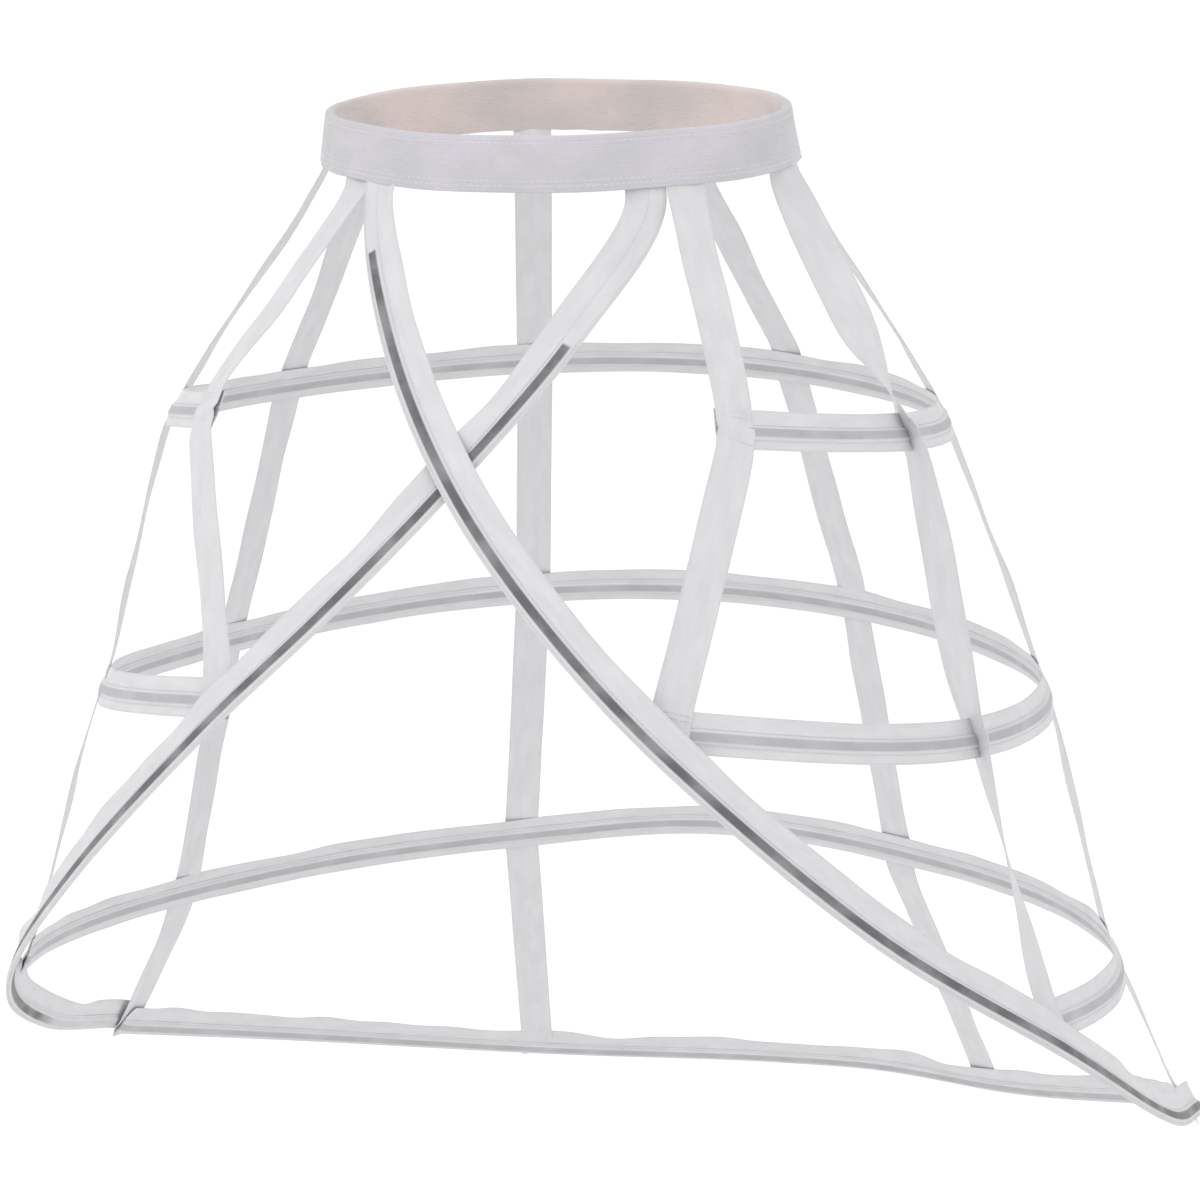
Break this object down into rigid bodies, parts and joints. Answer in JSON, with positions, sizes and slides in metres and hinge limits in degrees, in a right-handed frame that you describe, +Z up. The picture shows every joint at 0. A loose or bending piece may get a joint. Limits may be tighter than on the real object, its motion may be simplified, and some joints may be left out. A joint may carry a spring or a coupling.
{
  "type": "crinoline cage",
  "caption": "Open-front hooped petticoat frame of white ribbon: elastic waistband, hanging tapes, boned hoops, boned front edges that cross, and a boned hem.",
  "frame": {"origin": "centre of the waistband, at the middle of its height", "axes": "+Z up, the wearer faces -Y, +X is the wearer's left"},
  "size_m": [0.6452, 0.6794, 0.6563],
  "materials": {
    "ribbon": "woven ribbon, matt with a slight sheen",
    "casing": "woven ribbon sewn round a bone",
    "elastic": "ribbed elastic",
    "bone": "sprung flat steel",
    "bone_cap": "dipped end"
  },
  "bodies": {
    "root": {"waistband": "elastic", "back_tape_left": "ribbon", "back_tape_right": "ribbon", "rear_tape_left": "ribbon", "rear_tape_right": "ribbon", "side_tape_left": "ribbon", "side_tape_right": "ribbon", "front_tape_left": "ribbon", "front_tape_right": "ribbon", "hip_hoop_casing": "casing", "hip_hoop_bone": "bone", "hip_hoop_bone_caps": "bone_cap", "thigh_hoop_casing": "casing", "thigh_hoop_bone": "bone", "thigh_hoop_bone_caps": "bone_cap", "knee_hoop_casing": "casing", "knee_hoop_bone": "bone", "knee_hoop_bone_caps": "bone_cap", "hem_casing": "casing", "hem_bone": "bone", "hem_bone_caps": "bone_cap", "over_edge_casing": "casing", "over_edge_bone": "bone", "over_edge_bone_caps": "bone_cap", "under_edge_casing": "casing", "under_edge_bone": "bone", "under_edge_bone_caps": "bone_cap"}
  },
  "joints": []
}
